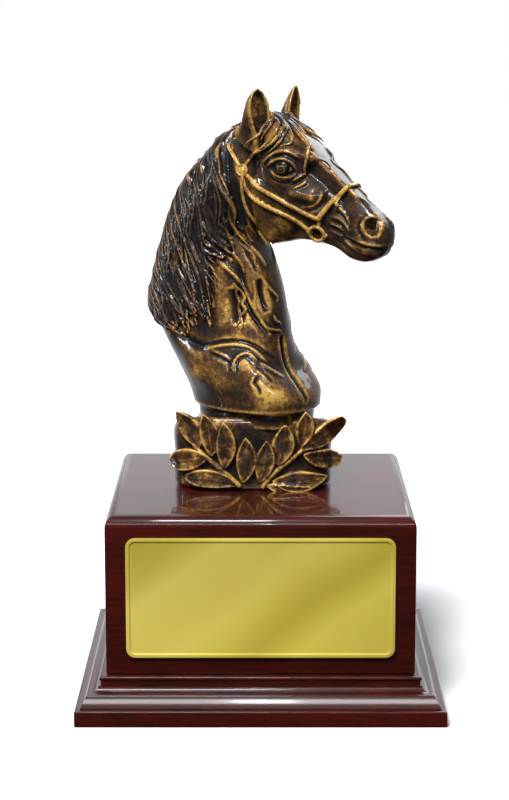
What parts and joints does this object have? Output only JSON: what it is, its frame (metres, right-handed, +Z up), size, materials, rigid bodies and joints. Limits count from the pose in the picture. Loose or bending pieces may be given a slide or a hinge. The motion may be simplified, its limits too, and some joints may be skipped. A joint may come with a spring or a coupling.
{
  "type": "horse head trophy",
  "caption": "Cast bronze-coloured horse bust with halter, long mane and laurel base on a dark red lacquered plinth with a moulded foot and a blank gold name plate.",
  "frame": {"origin": "middle of the plinth foot's underside", "axes": "+Z up; -Y out of the face that carries the name plate; +X to the right of someone reading the plate, which is the side the horse's head looks to"},
  "size_m": [0.14, 0.14, 0.2348],
  "materials": {
    "antique_bronze": "cast resin painted dark bronze, ridges rubbed with antique gold, gloss clear coat",
    "red_lacquer": "fibreboard under very dark red wood grain film and thick gloss lacquer",
    "gold_plate": "gold-coloured sheet, satin, blank"
  },
  "bodies": {
    "root": {"horse_casting": "antique_bronze", "plinth_block": "red_lacquer", "plinth_foot": "red_lacquer", "name_plate": "gold_plate"}
  },
  "joints": []
}
